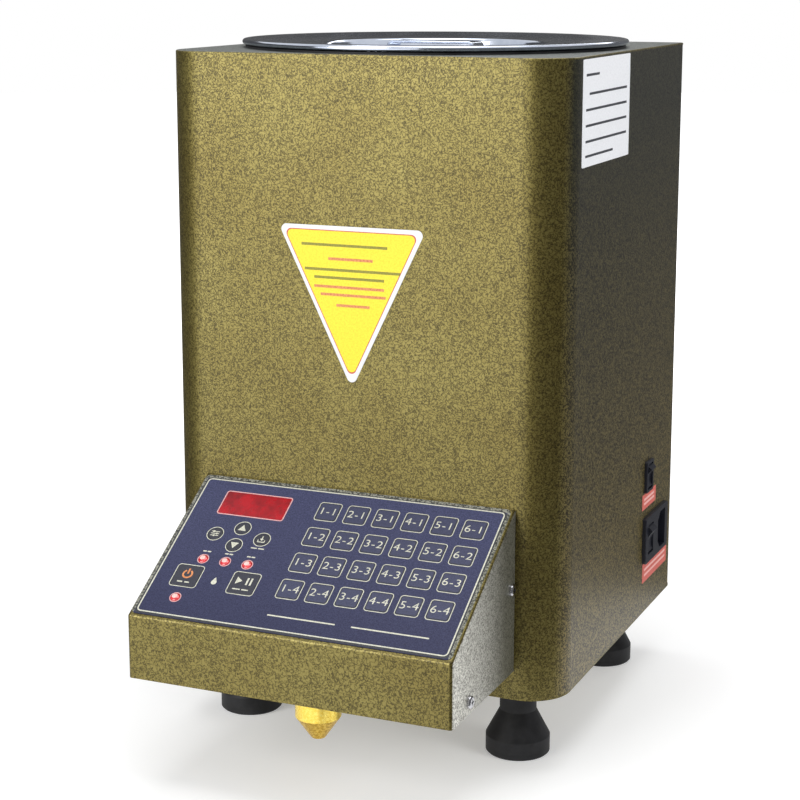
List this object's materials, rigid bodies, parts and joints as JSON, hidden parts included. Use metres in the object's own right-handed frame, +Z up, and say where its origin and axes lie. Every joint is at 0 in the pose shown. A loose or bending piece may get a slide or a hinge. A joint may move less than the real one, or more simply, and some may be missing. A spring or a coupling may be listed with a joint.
{
  "type": "syrup dosing machine",
  "caption": "Countertop syrup dosing machine: heated steel pail in a painted sheet casing, sloping keypad box on the front with a brass nozzle below, on conical feet.",
  "frame": {"origin": "middle of the whole machine's base, on the surface the feet stand on", "axes": "+Z up, -Y towards the keypad side, +X towards the wall with the switch and the mains inlet"},
  "size_m": [0.2554, 0.3382, 0.417],
  "materials": {
    "hammertone": "hammered bronze paint, semi-gloss",
    "zinc": "zinc plated sheet",
    "polished_steel": "polished stainless steel",
    "nickel": "nickel plated",
    "brass": "turned brass",
    "black_plastic": "moulded, satin",
    "black_rubber": "matte",
    "overlay_film": "printed film, fine texture",
    "key_film": "printed film, fine texture",
    "red_filter": "red filter, glossy",
    "circuit_board": "solder mask",
    "pump_metal": "machined",
    "gear_steel": "ground",
    "clear_hose": "translucent silicone",
    "heater_foil": "mica band in steel foil"
  },
  "bodies": {
    "machine": {"body_shell": "hammertone", "top_plate": "hammertone", "back_panel": "hammertone", "base_plate": "hammertone", "screws": "nickel", "feet": "black_rubber", "syrup_pail": "polished_steel", "pail_seal": "black_rubber", "pail_outlet": "polished_steel", "heater_band": "heater_foil", "control_box": "hammertone", "control_box_base": "hammertone", "panel_overlay": "overlay_film", "panel_windows": "red_filter", "control_board": "circuit_board", "pump_housing": "pump_metal", "pump_cover": "pump_metal", "pump_motor": "zinc", "syrup_hoses": "clear_hose", "nozzle_spout": "brass", "power_supply": "zinc", "switch_housing": "black_plastic", "inlet_housing": "black_plastic", "inlet_pins": "nickel"},
    "lid": {"pail_lid": "polished_steel"},
    "nozzle": {"nozzle_tip": "brass"},
    "pump_drive": {"drive_gear": "gear_steel"},
    "pump_driven": {"driven_gear": "gear_steel"},
    "power_rocker": {"switch_rocker": "black_plastic"},
    "inlet_rocker_body": {"inlet_rocker": "black_plastic"},
    "key_1_1_cap": {"key_1_1": "key_film"},
    "key_1_2_cap": {"key_1_2": "key_film"},
    "key_1_3_cap": {"key_1_3": "key_film"},
    "key_1_4_cap": {"key_1_4": "key_film"},
    "key_2_1_cap": {"key_2_1": "key_film"},
    "key_2_2_cap": {"key_2_2": "key_film"},
    "key_2_3_cap": {"key_2_3": "key_film"},
    "key_2_4_cap": {"key_2_4": "key_film"},
    "key_3_1_cap": {"key_3_1": "key_film"},
    "key_3_2_cap": {"key_3_2": "key_film"},
    "key_3_3_cap": {"key_3_3": "key_film"},
    "key_3_4_cap": {"key_3_4": "key_film"},
    "key_4_1_cap": {"key_4_1": "key_film"},
    "key_4_2_cap": {"key_4_2": "key_film"},
    "key_4_3_cap": {"key_4_3": "key_film"},
    "key_4_4_cap": {"key_4_4": "key_film"},
    "key_5_1_cap": {"key_5_1": "key_film"},
    "key_5_2_cap": {"key_5_2": "key_film"},
    "key_5_3_cap": {"key_5_3": "key_film"},
    "key_5_4_cap": {"key_5_4": "key_film"},
    "key_6_1_cap": {"key_6_1": "key_film"},
    "key_6_2_cap": {"key_6_2": "key_film"},
    "key_6_3_cap": {"key_6_3": "key_film"},
    "key_6_4_cap": {"key_6_4": "key_film"},
    "key_up_cap": {"key_up": "key_film"},
    "key_down_cap": {"key_down": "key_film"},
    "key_set_cap": {"key_set": "key_film"},
    "key_store_cap": {"key_store": "key_film"},
    "key_power_cap": {"key_power": "key_film"},
    "key_stop_cap": {"key_stop": "key_film"}
  },
  "joints": [
    {"name": "lid_lift", "type": "slide", "parent": "machine", "child": "lid", "axis": [0, 0, 1], "range_m": [0, 0.08]},
    {"name": "nozzle_unscrew", "type": "slide", "parent": "machine", "child": "nozzle", "axis": [0, 0, -1], "range_m": [0, 0.018]},
    {"name": "pump_drive_turn", "type": "hinge", "parent": "machine", "child": "pump_drive", "pos_m": [0.00952, 0.0469, 0.111], "axis": [0, 1, 0], "continuous": true},
    {"name": "pump_driven_turn", "type": "hinge", "parent": "machine", "child": "pump_driven", "pos_m": [-0.01498, 0.0469, 0.111], "axis": [0, 1, 0], "continuous": true},
    {"name": "power_rocker_tilt", "type": "hinge", "parent": "machine", "child": "power_rocker", "pos_m": [0.12027, 0.1069, 0.1373], "axis": [0, -1, 0], "range_deg": [0, 24]},
    {"name": "inlet_rocker_tilt", "type": "hinge", "parent": "machine", "child": "inlet_rocker_body", "pos_m": [0.12027, 0.1089, 0.095], "axis": [0, -1, 0], "range_deg": [0, 24]},
    {"name": "key_1_1_press", "type": "slide", "parent": "machine", "child": "key_1_1_cap", "axis": [0, 0.5275, -0.8496], "range_m": [0, 0.0004], "stiffness_N_per_m": 400, "springref_m": -0.0004},
    {"name": "key_1_2_press", "type": "slide", "parent": "machine", "child": "key_1_2_cap", "axis": [0, 0.5275, -0.8496], "range_m": [0, 0.0004], "stiffness_N_per_m": 400, "springref_m": -0.0004},
    {"name": "key_1_3_press", "type": "slide", "parent": "machine", "child": "key_1_3_cap", "axis": [0, 0.5275, -0.8496], "range_m": [0, 0.0004], "stiffness_N_per_m": 400, "springref_m": -0.0004},
    {"name": "key_1_4_press", "type": "slide", "parent": "machine", "child": "key_1_4_cap", "axis": [0, 0.5275, -0.8496], "range_m": [0, 0.0004], "stiffness_N_per_m": 400, "springref_m": -0.0004},
    {"name": "key_2_1_press", "type": "slide", "parent": "machine", "child": "key_2_1_cap", "axis": [0, 0.5275, -0.8496], "range_m": [0, 0.0004], "stiffness_N_per_m": 400, "springref_m": -0.0004},
    {"name": "key_2_2_press", "type": "slide", "parent": "machine", "child": "key_2_2_cap", "axis": [0, 0.5275, -0.8496], "range_m": [0, 0.0004], "stiffness_N_per_m": 400, "springref_m": -0.0004},
    {"name": "key_2_3_press", "type": "slide", "parent": "machine", "child": "key_2_3_cap", "axis": [0, 0.5275, -0.8496], "range_m": [0, 0.0004], "stiffness_N_per_m": 400, "springref_m": -0.0004},
    {"name": "key_2_4_press", "type": "slide", "parent": "machine", "child": "key_2_4_cap", "axis": [0, 0.5275, -0.8496], "range_m": [0, 0.0004], "stiffness_N_per_m": 400, "springref_m": -0.0004},
    {"name": "key_3_1_press", "type": "slide", "parent": "machine", "child": "key_3_1_cap", "axis": [0, 0.5275, -0.8496], "range_m": [0, 0.0004], "stiffness_N_per_m": 400, "springref_m": -0.0004},
    {"name": "key_3_2_press", "type": "slide", "parent": "machine", "child": "key_3_2_cap", "axis": [0, 0.5275, -0.8496], "range_m": [0, 0.0004], "stiffness_N_per_m": 400, "springref_m": -0.0004},
    {"name": "key_3_3_press", "type": "slide", "parent": "machine", "child": "key_3_3_cap", "axis": [0, 0.5275, -0.8496], "range_m": [0, 0.0004], "stiffness_N_per_m": 400, "springref_m": -0.0004},
    {"name": "key_3_4_press", "type": "slide", "parent": "machine", "child": "key_3_4_cap", "axis": [0, 0.5275, -0.8496], "range_m": [0, 0.0004], "stiffness_N_per_m": 400, "springref_m": -0.0004},
    {"name": "key_4_1_press", "type": "slide", "parent": "machine", "child": "key_4_1_cap", "axis": [0, 0.5275, -0.8496], "range_m": [0, 0.0004], "stiffness_N_per_m": 400, "springref_m": -0.0004},
    {"name": "key_4_2_press", "type": "slide", "parent": "machine", "child": "key_4_2_cap", "axis": [0, 0.5275, -0.8496], "range_m": [0, 0.0004], "stiffness_N_per_m": 400, "springref_m": -0.0004},
    {"name": "key_4_3_press", "type": "slide", "parent": "machine", "child": "key_4_3_cap", "axis": [0, 0.5275, -0.8496], "range_m": [0, 0.0004], "stiffness_N_per_m": 400, "springref_m": -0.0004},
    {"name": "key_4_4_press", "type": "slide", "parent": "machine", "child": "key_4_4_cap", "axis": [0, 0.5275, -0.8496], "range_m": [0, 0.0004], "stiffness_N_per_m": 400, "springref_m": -0.0004},
    {"name": "key_5_1_press", "type": "slide", "parent": "machine", "child": "key_5_1_cap", "axis": [0, 0.5275, -0.8496], "range_m": [0, 0.0004], "stiffness_N_per_m": 400, "springref_m": -0.0004},
    {"name": "key_5_2_press", "type": "slide", "parent": "machine", "child": "key_5_2_cap", "axis": [0, 0.5275, -0.8496], "range_m": [0, 0.0004], "stiffness_N_per_m": 400, "springref_m": -0.0004},
    {"name": "key_5_3_press", "type": "slide", "parent": "machine", "child": "key_5_3_cap", "axis": [0, 0.5275, -0.8496], "range_m": [0, 0.0004], "stiffness_N_per_m": 400, "springref_m": -0.0004},
    {"name": "key_5_4_press", "type": "slide", "parent": "machine", "child": "key_5_4_cap", "axis": [0, 0.5275, -0.8496], "range_m": [0, 0.0004], "stiffness_N_per_m": 400, "springref_m": -0.0004},
    {"name": "key_6_1_press", "type": "slide", "parent": "machine", "child": "key_6_1_cap", "axis": [0, 0.5275, -0.8496], "range_m": [0, 0.0004], "stiffness_N_per_m": 400, "springref_m": -0.0004},
    {"name": "key_6_2_press", "type": "slide", "parent": "machine", "child": "key_6_2_cap", "axis": [0, 0.5275, -0.8496], "range_m": [0, 0.0004], "stiffness_N_per_m": 400, "springref_m": -0.0004},
    {"name": "key_6_3_press", "type": "slide", "parent": "machine", "child": "key_6_3_cap", "axis": [0, 0.5275, -0.8496], "range_m": [0, 0.0004], "stiffness_N_per_m": 400, "springref_m": -0.0004},
    {"name": "key_6_4_press", "type": "slide", "parent": "machine", "child": "key_6_4_cap", "axis": [0, 0.5275, -0.8496], "range_m": [0, 0.0004], "stiffness_N_per_m": 400, "springref_m": -0.0004},
    {"name": "key_up_press", "type": "slide", "parent": "machine", "child": "key_up_cap", "axis": [0, 0.5275, -0.8496], "range_m": [0, 0.0004], "stiffness_N_per_m": 400, "springref_m": -0.0004},
    {"name": "key_down_press", "type": "slide", "parent": "machine", "child": "key_down_cap", "axis": [0, 0.5275, -0.8496], "range_m": [0, 0.0004], "stiffness_N_per_m": 400, "springref_m": -0.0004},
    {"name": "key_set_press", "type": "slide", "parent": "machine", "child": "key_set_cap", "axis": [0, 0.5275, -0.8496], "range_m": [0, 0.0004], "stiffness_N_per_m": 400, "springref_m": -0.0004},
    {"name": "key_store_press", "type": "slide", "parent": "machine", "child": "key_store_cap", "axis": [0, 0.5275, -0.8496], "range_m": [0, 0.0004], "stiffness_N_per_m": 400, "springref_m": -0.0004},
    {"name": "key_power_press", "type": "slide", "parent": "machine", "child": "key_power_cap", "axis": [0, 0.5275, -0.8496], "range_m": [0, 0.0004], "stiffness_N_per_m": 400, "springref_m": -0.0004},
    {"name": "key_stop_press", "type": "slide", "parent": "machine", "child": "key_stop_cap", "axis": [0, 0.5275, -0.8496], "range_m": [0, 0.0004], "stiffness_N_per_m": 400, "springref_m": -0.0004}
  ],
  "couplings": [
    {"joint": "pump_driven_turn", "follows": "pump_drive_turn", "ratio": -1}
  ]
}
